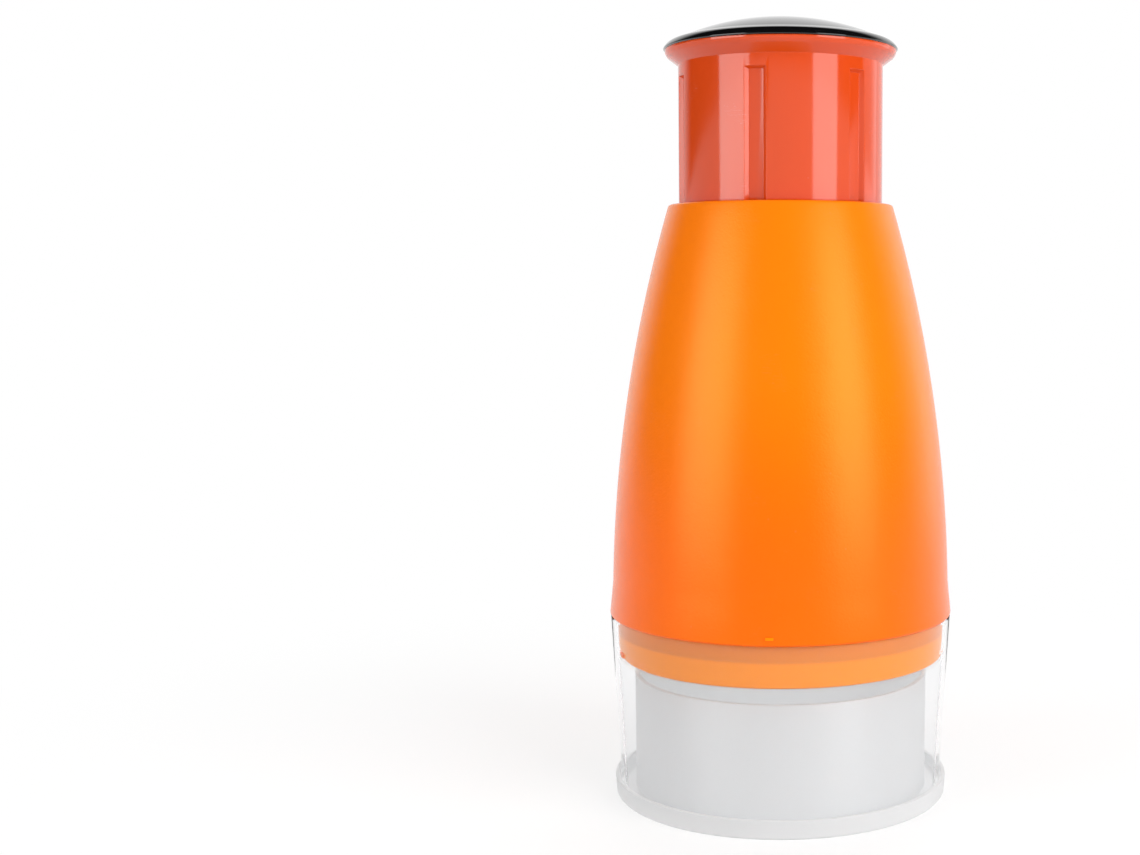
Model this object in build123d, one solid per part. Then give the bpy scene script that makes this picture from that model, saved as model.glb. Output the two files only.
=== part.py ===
from build123d import *

import math
import os

# A hand-pressed garlic and herb chopper: a cup on a tray, a clear guard, a bell-shaped body and a plunger
# that pushes a turning zigzag blade down into the cup. Millimetres. The origin is the centre of the tray's
# underside, +Z is up and the front faces -Y. Angles round the axis are counted from the front, and grow
# towards the right. Everything is drawn at rest, with the plunger up.

# Clearances
running_gap = 0.3
bearing_gap = 0.1
slot_gap = 0.35

# Cup and tray, one moulding
cup_radius = 41.7
cup_height = 34.7
cup_wall = 1.5
cup_draft = 0.2
cup_corner = 0.8
tray_floor = 2.4
lip_height = 5.4
lip_wall = 1.3
lip_flare = 0.35
foot_recess = 0.5
foot_ring = 4.0
foot_edge = 0.6

# Clear guard that stands in the tray
guard_room = 3.9
guard_taper = 2.9
guard_wall = 1.6
socket_wall = 1.4
socket_depth = 11.5
ledge_rise = 5.2
ledge_thickness = 0.8
ledge_width = 4.6
nub_rise = 1.3
nub_height = 1.1
nub_depth = 0.8
nub_span = 22.0
nub_angle = 86.0
nub_count = 2
nub_gap = 0.25
unlock_turn = 30.0

# Bell-shaped body
body_foot_gap = 0.3
body_overhang = 0.2
body_foot_edge = 0.5
body_waist_step = 0.9
body_waist_rise = 9.6
body_arc = 405.0
body_wall = 2.4
body_mouth = 2.85
rim_round = 0.8
mark_width = 2.2
mark_height = 0.8
mark_proud = 0.3
mark_rise = 2.2
mark_angle = -3.4

# Neck ring that closes the body's foot
neck_rest_gap = 0.2
neck_plug_step = 0.6
neck_plug_height = 10.3
neck_wall = 2.5
neck_lip = 1.2
neck_edge = 0.4

# Wiper disc and the ring that holds it in the neck
wiper_thickness = 2.5
wiper_rest_gap = 0.2
retainer_thickness = 2.0
retainer_width = 3.2

# Plunger, its grooves and its catches
stroke = 37.5
landing_gap = 1.0
plunger_radius = 28.55
plunger_wall = 2.2
plunger_floor_gap = 1.5
flare_overhang = 3.75
flare_height = 4.05
flare_edge = 1.85
flare_edge_width = 0.8
flare_edge_round = 2.6
flare_rim = 1.6
flare_recess = 2.2
groove_count = 6
groove_turn = -13.6
groove_mouth = 6.2
groove_floor = 4.0
groove_depth = 1.3
groove_end_room = 1.1
groove_end_slope = 0.7
groove_back = 1.2
bridge_thickness = 2.5
bridge_drop = 2.3
bridge_gap = 0.05
bush_drop = 5.0
catch_count = 3
catch_width = 8.0
catch_height = 3.3
catch_rise = 3.5
catch_proud = 1.55
catch_slit = 1.2
catch_slit_height = 11.0

# Guide collar under the body's top
collar_length = 21.0
collar_wall = 1.8
collar_edge = 0.5
key_gap = 0.4

# Dome cap
cap_overhang = 0.45
cap_height = 8.85
cap_edge = 0.3
cap_shoulder_width = 3.35
cap_shoulder_drop = 6.3
cap_shoulder_arc = 3.9
cap_wall = 1.3
cap_rim_width = 3.5
cap_skirt_wall = 1.8
cap_skirt_depth = 3.4
cap_skirt_gap = 0.05

# Blade, its carrier and its clamp
blade_gap = 0.5
blade_wall_gap = 1.5
blade_thickness = 0.6
blade_edge_height = 1.5
blade_edge_thickness = 0.12
blade_web = 3.6
blade_spread = 0.86
blade_peaks = 7
blade_seat = 1.5
grip_gap = 0.02
carrier_inset = 0.3
carrier_thickness = 3.0
carrier_rise = 1.0
carrier_rib_height = 2.0
carrier_rib_width = 1.6
carrier_rib_count = 6
hub_wall = 4.0
hub_height = 6.2
clamp_thickness = 1.8
clamp_screw_radius = 1.25
clamp_screw_head = 2.3
clamp_screw_depth = 2.2
index_notch = 1.2
index_angle = 20.0

# Shaft, its cross pin and its fasteners
shaft_radius = 4.0
shaft_flat = 0.7
shaft_bottom_rise = 1.2
journal_step = 1.0
pin_radius = 1.5
pin_end_gap = 0.3
thrust_width = 3.0
washer_thickness = 0.6
top_washer_thickness = 0.8
screw_radius = 1.5
screw_depth = 10.0
screw_head_radius = 3.4
screw_head_height = 2.0
slot_width = 0.8

# Bearing plate under the shell's posts
plate_gap = 3.5
plate_thickness = 3.0
plate_rim_gap = 0.35
plate_rib_height = 2.5
plate_rib_width = 1.8
plate_rib_count = 6
plate_screw_count = 3
plate_screw_radius = 1.3
plate_screw_length = 11.0
plate_screw_head = 2.6
plate_screw_head_height = 1.8
post_share = 0.27
post_height = 32.0

# Cam sleeve, its crown teeth and the return spring
cam_turn = 60.0
sleeve_wall = 4.0
sleeve_top_margin = 3.0
spigot_step = 1.0
flange_thickness = 3.2
crown_base = 0.8
crown_height = 1.2
crown_teeth = 12
crown_share = 0.92
pin_slot_margin = 1.0
pin_floor_gap = 0.7
seat_washer_thickness = 0.8
spring_wire = 1.2
spring_room = 3.4
spring_turns = 9
spring_end_rise = 2.0
spring_cup_wall = 1.2
spring_cup_depth = 3.0

# Worked-out radii, from the cup and the plunger outwards
low_cup_radius = cup_radius - cup_draft
chamber_radius = low_cup_radius - cup_wall
blade_circle = chamber_radius - blade_wall_gap
blade_pitch = 2 * blade_spread * blade_circle / (blade_peaks - 1)
blade_bend = blade_web / 3
carrier_radius = blade_circle + carrier_inset
guard_foot_radius = cup_radius + guard_room
guard_top_radius = guard_foot_radius + guard_taper
tray_radius = guard_foot_radius + running_gap + lip_wall
body_foot_radius = guard_top_radius + body_overhang
body_waist_radius = body_foot_radius - body_waist_step
collar_radius = plunger_radius + running_gap
body_top_radius = collar_radius + body_mouth
plunger_bore = plunger_radius - plunger_wall
flare_radius = plunger_radius + flare_overhang
cap_radius = flare_radius + cap_overhang
catch_radius = plunger_radius + catch_proud
journal_radius = shaft_radius - journal_step
bush_radius = journal_radius + thrust_width
hub_radius = shaft_radius + hub_wall
sleeve_radius = shaft_radius + sleeve_wall
spring_radius = sleeve_radius + spring_room + spring_wire / 2
flange_radius = spring_radius + spring_wire / 2 + 2 * bearing_gap
crown_inner = sleeve_radius + spigot_step
spigot_radius = sleeve_radius - spigot_step

# Worked-out heights, from the table up
ledge_top = cup_height + ledge_rise
guard_top = ledge_top + socket_depth
blade_bottom = tray_floor + blade_gap + stroke
neck_bottom = ledge_top + neck_rest_gap
neck_lip_top = neck_bottom + neck_lip
wiper_bottom = neck_lip_top + wiper_rest_gap
wiper_top = wiper_bottom + wiper_thickness
retainer_bottom = wiper_top + running_gap
retainer_top = retainer_bottom + retainer_thickness
body_foot = guard_top + body_foot_gap
body_waist = body_foot + body_waist_rise
neck_plug_top = body_foot + neck_plug_height
clamp_bottom = wiper_top + carrier_rise + stroke
carrier_bottom = clamp_bottom + clamp_thickness
carrier_top = carrier_bottom + carrier_thickness
hub_top = carrier_top + hub_height
plate_bottom = hub_top + plate_gap
plate_top = plate_bottom + plate_thickness
flange_bottom = plate_top + crown_base
flange_top = flange_bottom + flange_thickness
spring_bottom = flange_top + seat_washer_thickness
pin_pressed = spring_bottom + pin_radius + pin_floor_gap
pin_height = pin_pressed + stroke
sleeve_top = pin_height + pin_radius + pin_slot_margin + sleeve_top_margin
plunger_bottom = plate_top + plunger_floor_gap + stroke
catch_top = plunger_bottom + catch_rise + catch_height
collar_bottom = catch_top + running_gap
body_top = collar_bottom + collar_length
collar_top = body_top - 2 * body_wall
rim_bottom = body_top - rim_round
flare_bottom = body_top + stroke + landing_gap
cap_seam = flare_bottom + flare_height
groove_top = collar_top + stroke + groove_end_room + 2 * groove_end_slope
bridge_bottom = flare_bottom - bridge_drop
bridge_top = bridge_bottom + bridge_thickness
bush_bottom = bridge_bottom - bush_drop
shaft_shoulder = bush_bottom - running_gap - washer_thickness
shaft_bottom = carrier_bottom + shaft_bottom_rise
journal_top = bridge_top + running_gap


def arc_centre(start, end, radius):
    """Centre of the circle through two (radius, height) points that bulges to the right of the way."""
    half = math.dist(start, end) / 2
    middle = ((start[0] + end[0]) / 2, (start[1] + end[1]) / 2)
    along = ((end[0] - start[0]) / (2 * half), (end[1] - start[1]) / (2 * half))
    back = math.sqrt(radius**2 - half**2)
    return middle[0] - back * along[1], middle[1] + back * along[0]


def bulge(start, end, radius):
    """An arc of a given radius between two (radius, height) points, bulging to the right of the way."""
    centre = arc_centre(start, end, radius)
    middle = ((start[0] + end[0]) / 2 - centre[0], (start[1] + end[1]) / 2 - centre[1])
    stretch = radius / math.hypot(*middle)
    return ThreePointArc(start, (centre[0] + stretch * middle[0], centre[1] + stretch * middle[1]), end)


body_arc_centre = arc_centre((body_waist_radius, body_waist), (body_top_radius, rim_bottom), body_arc)
guard_slope = guard_taper / (guard_top - tray_floor)


def body_radius(height, inset=0.0):
    """Radius of the bell's side at a height above its waist, or of the surface inset from it."""
    rise = height - body_arc_centre[1]
    return body_arc_centre[0] + math.sqrt((body_arc - inset) ** 2 - rise**2)


def guard_radius(height):
    """Outer radius of the tapered guard at a height."""
    return guard_foot_radius + guard_slope * (height - tray_floor)


def neck_radius(height):
    """Outer radius of the neck, which tapers as the guard's socket does."""
    return guard_radius(height) - socket_wall - running_gap


neck_plug_radius = neck_radius(body_foot) - neck_plug_step
neck_bore = neck_plug_radius - neck_wall
neck_lip_radius = neck_bore - retainer_width
body_bore = neck_plug_radius + bearing_gap
plate_radius = body_radius(plate_top, body_wall) - plate_rim_gap
post_radius = post_share * (plate_radius - catch_radius)
plate_screw_circle = (plate_radius + catch_radius) / 2


def turned(*points):
    """A solid turned about the upright axis from a closed outline of (radius, height) points."""
    return revolve(Plane.XZ * make_face(Polyline(*points, close=True)), Axis.Z)


def disc(radius, low, high):
    """An upright cylinder between two heights."""
    return Pos(0, 0, low) * extrude(Circle(radius), high - low)


def ring(inner, outer, low, high):
    """A plain ring between two radii and two heights."""
    return Pos(0, 0, low) * extrude(Circle(outer) - Circle(inner), high - low)


def arc_block(inner, outer, low, high, middle, span):
    """A piece of a ring, centred on an angle from the front and spanning some degrees."""
    size = Rectangle(outer - inner, high - low)
    section = Plane.XZ * Pos((inner + outer) / 2, (low + high) / 2) * size
    return Rot(0, 0, middle - span / 2 - 90) * revolve(section, Axis.Z, span)


def spread(count, first=0.0):
    """Evenly spaced angles round the axis."""
    return [first + 360.0 * i / count for i in range(count)]


def on_circle(radius, angle):
    """Position at a radius and an angle from the front."""
    turn = math.radians(angle - 90)
    return Pos(radius * math.cos(turn), radius * math.sin(turn), 0)


def save(solid, name):
    """Writes one piece under its own name."""
    solid.label = name
    export_step(solid, f"parts/{name}.step")


def tray_cup():
    """The cup and the tray under it, one milky moulding with an upturned lip."""
    recess_radius = tray_radius - foot_ring
    lip_radius = tray_radius + lip_flare
    tray = turned(
        (0, foot_recess),
        (recess_radius, foot_recess),
        (recess_radius + foot_recess, 0),
        (tray_radius - foot_edge, 0),
        (tray_radius, foot_edge),
        (lip_radius, lip_height - neck_edge),
        (lip_radius - neck_edge, lip_height),
        (lip_radius - lip_wall, lip_height),
        (tray_radius - lip_wall, tray_floor),
        (0, tray_floor),
    )
    edge = cup_wall / 4
    wall = turned(
        (chamber_radius - cup_corner, tray_floor),
        (chamber_radius, tray_floor + cup_corner),
        (cup_radius - cup_wall, cup_height - edge),
        (cup_radius - cup_wall + edge, cup_height),
        (cup_radius - edge, cup_height),
        (cup_radius, cup_height - edge),
        (low_cup_radius, tray_floor),
        (low_cup_radius, tray_floor / 2),
        (chamber_radius - cup_corner, tray_floor / 2),
    )
    return tray + wall


def clear_guard():
    """The clear sleeve round the cup, with a socket for the neck, a ledge and bayonet nubs."""
    ledge_bottom = ledge_top - ledge_thickness
    ledge_inner = guard_radius(ledge_top) - ledge_width
    edge = socket_wall / 5
    sleeve = turned(
        (guard_foot_radius - guard_wall, tray_floor),
        (guard_foot_radius, tray_floor),
        (guard_radius(guard_top - edge), guard_top - edge),
        (guard_top_radius - edge, guard_top),
        (guard_top_radius - socket_wall, guard_top),
        (guard_radius(ledge_top) - socket_wall, ledge_top),
        (ledge_inner, ledge_top),
        (ledge_inner, ledge_bottom),
        (guard_radius(ledge_bottom) - guard_wall, ledge_bottom),
    )
    low = ledge_top + nub_rise
    root = guard_radius(low) - socket_wall
    for angle in spread(nub_count, nub_angle):
        sleeve += arc_block(
            root - nub_depth, root + socket_wall / 2, low, low + nub_height, angle, nub_span
        )
    return sleeve


def neck_ring():
    """The ring in the body's foot: a shoulder, a lip under the wiper and a bayonet groove for each nub."""
    neck = turned(
        (neck_lip_radius, neck_bottom),
        (neck_radius(neck_bottom) - neck_edge, neck_bottom),
        (neck_radius(neck_bottom), neck_bottom + neck_edge),
        (neck_radius(body_foot), body_foot),
        (neck_plug_radius, body_foot),
        (neck_plug_radius, neck_plug_top),
        (neck_bore, neck_plug_top),
        (neck_bore, neck_lip_top),
        (neck_lip_radius, neck_lip_top),
    )
    low = ledge_top + nub_rise - nub_gap
    high = ledge_top + nub_rise + nub_height + nub_gap
    root = neck_radius(low) - nub_depth
    span = nub_span + 1.0
    for angle in spread(nub_count, nub_angle):
        entry = angle + unlock_turn
        run = (angle + entry) / 2
        neck -= arc_block(root, guard_top_radius, low, high, run, span + unlock_turn)
        neck -= arc_block(root, guard_top_radius, neck_bottom - 1, high, entry, span)
    return neck


def groove_bar(mouth, floor, depth, low, high):
    """A wedge-sided bar at the front of the plunger, from outside its surface inwards."""
    outside = groove_depth
    flare = (groove_mouth - groove_floor) / (2 * groove_depth) * outside
    section = make_face(
        Polyline(
            (-floor / 2, -plunger_radius + depth),
            (floor / 2, -plunger_radius + depth),
            (mouth / 2 + flare, -plunger_radius - outside),
            (-mouth / 2 - flare, -plunger_radius - outside),
            close=True,
        )
    )
    return Pos(0, 0, low) * extrude(section, high - low)


def groove():
    """One groove of the plunger, open at the bottom, with a top end that slants downwards as it goes in."""
    reach = 2 * groove_depth
    bar = groove_bar(groove_mouth, groove_floor, groove_depth, plunger_bottom - 1, groove_top)
    slant = make_face(
        Polyline((0, 0), (reach, 0), (reach, -groove_end_slope * reach / groove_depth), close=True)
    )
    return bar - extrude(
        Plane.YZ * Pos(-plunger_radius - groove_depth, groove_top) * slant, 2 * groove_mouth, both=True
    )


def guide_collar():
    """The tube under the body's rim that guides the plunger, with a key for each of its grooves."""
    collar = ring(collar_radius, collar_radius + collar_wall, collar_bottom, collar_top)
    return (collar & bell(body_wall, collar_bottom, collar_top)) + collar_keys()


def collar_keys():
    """Keys inside the guide collar that stop the plunger from turning."""
    slope = (groove_mouth - groove_floor) / (2 * groove_depth)
    depth = groove_depth - key_gap
    mouth = groove_mouth - 2 * running_gap
    low = collar_bottom + collar_edge
    high = collar_top
    key = groove_bar(mouth, mouth - 2 * slope * depth, depth, low, high)
    key &= ring(plunger_bore, collar_radius + collar_edge, low, high)
    return [Rot(0, 0, angle) * key for angle in spread(groove_count, groove_turn)]


def bell(inset, low, high):
    """The solid space inside the bell's side between two heights, inset from its surface."""
    start = (body_radius(low, inset), low)
    end = (body_radius(high, inset), high)
    outline = bulge(start, end, body_arc - inset) + Polyline(end, (0, high), (0, low), start)
    return revolve(Plane.XZ * make_face(outline), Axis.Z)


def body_shell():
    """The bell-shaped body: foot, one long arc and a thick top rim round the plunger."""
    foot_edge_top = (body_foot_radius, body_foot + body_foot_edge)
    waist = (body_waist_radius, body_waist)
    rim = (body_top_radius, rim_bottom)
    outline = Polyline((0, body_foot), (body_foot_radius - body_foot_edge, body_foot), foot_edge_top, waist)
    outline += bulge(waist, rim, body_arc)
    outline += bulge(rim, (body_top_radius - rim_round, body_top), 1.2 * rim_round)
    outline += Polyline((body_top_radius - rim_round, body_top), (0, body_top), (0, body_foot))
    shell = revolve(Plane.XZ * make_face(outline), Axis.Z)
    shell -= bell(body_wall, neck_plug_top, collar_top)
    shell -= disc(body_bore, body_foot, neck_plug_top)
    shell -= disc(collar_radius, collar_top, body_top)
    shell -= Pos(0, 0, body_top - collar_edge) * Cone(
        collar_radius, collar_radius + collar_edge, collar_edge, align=(Align.CENTER, Align.CENTER, Align.MIN)
    )
    return shell + alignment_mark()


def screw_posts():
    """Posts for the bearing plate's screws, which run up to the bell's side and stand against it."""
    top = plate_top + post_height
    inside = bell(body_wall, plate_top, top)
    post = disc(post_radius, plate_top, top)
    post -= disc(plate_screw_radius, plate_top, plate_top + plate_screw_length + 1)
    places = spread(plate_screw_count, groove_turn + 180 / groove_count)
    return Compound([(on_circle(plate_screw_circle, angle) * post) & inside for angle in places])


def alignment_mark():
    """A small raised dash above the foot that shows how to line the body up with the guard."""
    width = math.degrees(mark_width / body_foot_radius)
    low = body_foot + mark_rise - mark_height / 2
    share = (mark_rise - body_foot_edge) / (body_waist_rise - body_foot_edge)
    surface = body_foot_radius - share * body_waist_step
    return arc_block(surface - body_wall / 2, surface + mark_proud, low, low + mark_height, mark_angle, width)


def bearing_plate():
    """The ribbed plate that carries the cam sleeve, with a crown of ratchet teeth round its bore."""
    bore = spigot_radius + bearing_gap
    rib_bottom = plate_bottom - plate_rib_height
    boss = crown_inner + spigot_step
    plate = ring(bore, plate_radius, plate_bottom, plate_top)
    plate += ring(bore, boss, rib_bottom, plate_bottom)
    rib_end = plate_screw_circle - plate_screw_head - plate_rib_height
    rib_length = rib_end - boss + bearing_gap
    rib = Pos(0, bearing_gap - boss - rib_length / 2, (rib_bottom + plate_bottom) / 2)
    rib *= Box(plate_rib_width, rib_length, plate_rib_height)
    for angle in spread(plate_rib_count, groove_turn):
        plate += Rot(0, 0, angle) * rib
    for angle in spread(plate_screw_count, groove_turn + 180 / groove_count):
        plate -= on_circle(plate_screw_circle, angle) * disc(
            plate_screw_radius + bearing_gap, plate_bottom, plate_top
        )
    return plate + ring(crown_inner, flange_radius, plate_top, flange_bottom) + crown()


def crown():
    """Saw teeth that stand on the bearing plate in a ring, each with one upright side."""
    half = crown_share * math.pi / crown_teeth
    band = ring(crown_inner, flange_radius, flange_bottom, flange_bottom + crown_height)
    sections = []
    for radius in (crown_inner - 1, flange_radius + 1):
        reach = radius * math.tan(half)
        outline = Polyline((-reach, 0), (reach, 0), (reach, crown_height), close=True)
        sections.append(Plane.XZ.offset(radius) * Pos(0, flange_bottom) * make_face(outline))
    tooth = loft(sections, ruled=True) & band
    return [Rot(0, 0, angle) * tooth for angle in spread(crown_teeth)]


def plate_screws():
    """The screws that hold the bearing plate up against the shell's posts."""
    head_bottom = plate_bottom - plate_screw_head_height
    screw = disc(plate_screw_radius, plate_bottom, plate_top + plate_screw_length)
    screw += disc(plate_screw_head, head_bottom, plate_bottom)
    screw -= Pos(0, 0, head_bottom) * Box(slot_width, 2 * plate_screw_head, plate_screw_head_height)
    places = spread(plate_screw_count, groove_turn + 180 / groove_count)
    return Compound([on_circle(plate_screw_circle, angle) * screw for angle in places])


def cam_sleeve():
    """The sleeve with two helical slots that turn the cross pin, and a toothed flange on the crown."""
    bore = shaft_radius + bearing_gap
    sleeve = ring(bore, sleeve_radius, flange_bottom, sleeve_top)
    sleeve += ring(bore, flange_radius, flange_bottom, flange_top)
    sleeve += ring(bore, spigot_radius, plate_bottom, flange_bottom)
    for tooth in crown():
        sleeve -= tooth
    return sleeve - helical_slot()


def helical_slot():
    """The swept space of the cross pin: a flat bar that turns as it comes down."""
    reach = pin_radius + pin_slot_margin
    steps = 6
    low, high = pin_pressed - reach, pin_height + reach
    sections = []
    for i in range(steps + 1):
        height = low + (high - low) * i / steps
        turn = cam_turn * (pin_height - height) / stroke
        bar = Rectangle(2 * flange_radius, 2 * (pin_radius + running_gap))
        sections.append(Pos(0, 0, height) * Rot(0, 0, turn) * bar)
    return loft(sections)


def seat_washer():
    """The steel washer between the cam sleeve's flange and the spring."""
    return ring(sleeve_radius + 2 * bearing_gap, flange_radius, flange_top, spring_bottom)


def spring_points():
    """Centreline points and slopes of the return spring, two to a turn, with closer end turns."""
    low = spring_bottom + spring_wire / 2
    high = bridge_bottom - spring_wire / 2
    rise = (high - low - 2 * spring_end_rise) / (spring_turns - 2)
    heights = [low]
    for turn in range(spring_turns):
        step = spring_end_rise if turn in (0, spring_turns - 1) else rise
        heights += [heights[-1] + step / 2, heights[-1] + step]
    points = []
    for i, height in enumerate(heights):
        before, after = heights[max(i - 1, 0)], heights[min(i + 1, len(heights) - 1)]
        span = (min(i + 1, len(heights) - 1) - max(i - 1, 0)) * math.pi
        slope = (after - before) / span
        side = 1 if i % 2 == 0 else -1
        points.append((Vector(side * spring_radius, 0, height), Vector(0, side * spring_radius, slope)))
    return points


def spring_path():
    """The spring's centreline: each half turn is a pair of arcs that meet without a kink."""
    arcs = []
    points = spring_points()
    for (start, leave), (end, arrive) in zip(points, points[1:]):
        leave, arrive = leave.normalized(), arrive.normalized()
        chord = end - start
        both = leave + arrive
        a = both.dot(both) - 4
        b = -2 * chord.dot(both)
        c = chord.dot(chord)
        if abs(a) < 1e-9:
            reach = -c / b
        else:
            reach = (-b - math.sqrt(b * b - 4 * a * c)) / (2 * a)
        meet = (start + leave * reach + end - arrive * reach) / 2
        arcs.append(Edge.make_tangent_arc(start, leave, meet))
        arcs.append(Edge.make_tangent_arc(end, arrive * -1, meet))
    return arcs


def return_spring():
    """The long compression spring between the cam sleeve and the plunger, one unbroken wire."""
    wire = Wire(spring_path())
    start, leave = spring_points()[0]
    section = Plane(start, z_dir=leave) * Circle(spring_wire / 2)
    return sweep(section, path=wire)


def spring_gap():
    """Least gap between neighbouring turns, measured on points of the centreline."""
    spots = [edge @ (k / 6) for edge in spring_path() for k in range(6)]
    apart = 12
    least = min((p - q).length for i, p in enumerate(spots) for q in spots[i + apart :])
    return least - spring_wire


def plunger_tube():
    """The grooved tube with its flared top and the catches at its foot."""
    edge = cap_seam - flare_edge
    low_flare = (flare_radius - flare_edge_width, edge)
    recess_inner = plunger_bore + flare_rim
    recess_outer = flare_radius - flare_rim
    recess_floor = cap_seam - flare_recess
    outline = Polyline(
        (plunger_bore, plunger_bottom),
        (plunger_radius, plunger_bottom),
        (plunger_radius, flare_bottom),
        low_flare,
    )
    outline += bulge(low_flare, (flare_radius, cap_seam), flare_edge_round)
    outline += Polyline(
        (flare_radius, cap_seam),
        (recess_outer, cap_seam),
        (recess_outer - flare_edge_width, recess_floor),
        (recess_inner, recess_floor),
        (recess_inner, cap_seam),
        (plunger_bore, cap_seam),
        (plunger_bore, plunger_bottom),
    )
    tube = revolve(Plane.XZ * make_face(outline), Axis.Z) + groove_backs()
    cut = groove()
    for angle in spread(groove_count, groove_turn):
        tube -= Rot(0, 0, angle) * cut
    slit = Pos(0, -plunger_radius, plunger_bottom + catch_slit_height / 2 - 0.5)
    slit *= Box(catch_slit, 4 * plunger_wall, catch_slit_height + 1)
    side = math.degrees((catch_width / 2 + catch_slit) / plunger_radius)
    for angle in spread(catch_count, groove_turn + 180 / groove_count):
        tube -= Rot(0, 0, angle - side) * slit
        tube -= Rot(0, 0, angle + side) * slit
        tube += Rot(0, 0, angle) * catch()
    return tube


def groove_backs(room=0.0):
    """The thicker wall behind each groove, or the space it takes with some room round it."""
    deep = groove_back + plunger_wall / 2 + room
    back = Pos(0, deep / 2 - plunger_bore - plunger_wall / 2, (plunger_bottom + bridge_top) / 2)
    back *= Box(groove_mouth + 2 * room, deep, bridge_top - plunger_bottom)
    return [Rot(0, 0, angle) * back for angle in spread(groove_count, groove_turn)]


def plunger_bridge():
    """The wall across the tube's top, with a hole for the bush and a cup round the spring's end."""
    cup_inner = spring_radius + spring_wire / 2 + running_gap
    bridge = ring(bush_radius + bridge_gap, plunger_bore - bridge_gap, bridge_bottom, bridge_top)
    bridge += ring(cup_inner, cup_inner + spring_cup_wall, bridge_bottom - spring_cup_depth, bridge_bottom)
    return bridge - groove_backs(bridge_gap)


def shaft_bush():
    """The bush pressed into the bridge, in which the shaft's journal turns."""
    return ring(journal_radius + bearing_gap, bush_radius, bush_bottom, bridge_top)


def catch():
    """One catch at the plunger's foot that stops it under the guide collar."""
    low = catch_top - catch_height
    width = math.degrees(catch_width / plunger_radius)
    inner = plunger_radius - plunger_wall / 4
    section = Plane.XZ * make_face(
        Polyline(
            (inner, low),
            (plunger_radius, low),
            (catch_radius, catch_top - catch_height / 3),
            (catch_radius, catch_top),
            (inner, catch_top),
            close=True,
        )
    )
    return Rot(0, 0, -width / 2 - 90) * revolve(section, Axis.Z, width)


def cap_dome():
    """The domed cap with a skirt that plugs into the plunger's mouth."""
    apex = cap_seam + cap_height
    shoulder = (cap_radius - cap_shoulder_width, apex - cap_shoulder_drop)
    dome_arc = (shoulder[0] ** 2 + cap_shoulder_drop**2) / (2 * cap_shoulder_drop)
    inner_arc = dome_arc - cap_wall
    inside = apex - cap_wall
    inner_edge = cap_radius - cap_rim_width
    inner_height = inside - inner_arc + math.sqrt(inner_arc**2 - inner_edge**2)
    outline = bulge((cap_radius, cap_seam + cap_edge), shoulder, cap_shoulder_arc)
    outline += bulge(shoulder, (0, apex), dome_arc)
    outline += Polyline((0, apex), (0, inside))
    outline += ThreePointArc(
        (0, inside),
        (inner_edge / 2, inside - inner_arc + math.sqrt(inner_arc**2 - inner_edge**2 / 4)),
        (inner_edge, inner_height),
    )
    outline += Polyline(
        (inner_edge, inner_height),
        (inner_edge, cap_seam),
        (cap_radius - cap_edge, cap_seam),
        (cap_radius, cap_seam + cap_edge),
    )
    dome = revolve(Plane.XZ * make_face(outline), Axis.Z)
    skirt = plunger_bore - cap_skirt_gap
    skirt_top = inside - inner_arc + math.sqrt(inner_arc**2 - skirt**2) + cap_wall / 4
    return dome + ring(skirt - cap_skirt_wall, skirt, cap_seam - cap_skirt_depth, skirt_top)


def blade_path():
    """The zigzag seen from above: long legs joined by short webs whose corners lie on one circle."""
    circle = blade_circle - blade_thickness
    corners = []
    for i in range(blade_peaks):
        middle = (i - (blade_peaks - 1) / 2) * blade_pitch
        side = -1 if i % 2 == 0 else 1
        for x in (middle - blade_web / 2, middle + blade_web / 2):
            corners.append((x, side * math.sqrt(circle**2 - x**2)))
    return FilletPolyline(*corners[1:-1], radius=blade_bend)


def zigzag_blade():
    """One steel strip bent to a zigzag and standing on edge, ground to a cutting edge below."""
    full_bottom = blade_bottom + blade_edge_height
    strip = blade_slot(0, full_bottom, carrier_bottom + blade_seat)
    steps = 3
    for i in range(steps):
        share = (i + 0.5) / steps
        thinner = (1 - share) * (blade_thickness - blade_edge_thickness) / 2
        low = blade_bottom + blade_edge_height * i / steps
        strip += blade_slot(-thinner, low, low + blade_edge_height / steps)
    return strip


def blade_slot(gap, low, high):
    """The space of the zigzag strip between two heights, wider than the strip by a gap on each side."""
    return Pos(0, 0, low) * extrude(trace(blade_path(), blade_thickness + 2 * gap), high - low)


def clamp_screw_places():
    """Where the clamp's screws go, in the open spaces between the blade's legs."""
    inner = (blade_pitch, 0.39 * blade_circle)
    outer = (2.05 * blade_pitch, -0.31 * blade_circle)
    return [Pos(side * x, y, 0) for x, y in (inner, outer) for side in (-1, 1)]


def blade_carrier():
    """The ribbed disc that holds the blade's upper edge, with a hub that is keyed to the shaft."""
    rib_top = carrier_top + carrier_rib_height
    carrier = disc(carrier_radius, carrier_bottom, carrier_top)
    carrier += disc(hub_radius, carrier_top, hub_top)
    carrier += ring(carrier_radius - carrier_rib_width, carrier_radius, carrier_top, rib_top)
    rib_length = carrier_radius - hub_radius
    rib = Pos(0, carrier_rib_width / 2 - hub_radius - rib_length / 2, carrier_top + carrier_rib_height / 2)
    rib *= Box(carrier_rib_width, rib_length, carrier_rib_height)
    for angle in spread(carrier_rib_count):
        carrier += Rot(0, 0, angle) * rib
    carrier -= blade_slot(grip_gap, carrier_bottom, carrier_bottom + blade_seat)
    carrier -= shaft_end()
    carrier -= disc(screw_radius, carrier_bottom, shaft_bottom)
    for place in clamp_screw_places():
        carrier -= place * disc(clamp_screw_radius, carrier_bottom, carrier_bottom + clamp_screw_depth)
    return carrier - index_notches(carrier_bottom, rib_top)


def index_notches(low, high):
    """Two notches in the rim that line the clamp up with the carrier."""
    notch = disc(index_notch, low, high)
    return [on_circle(carrier_radius, angle) * notch for angle in (index_angle, index_angle + 180)]


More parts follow.
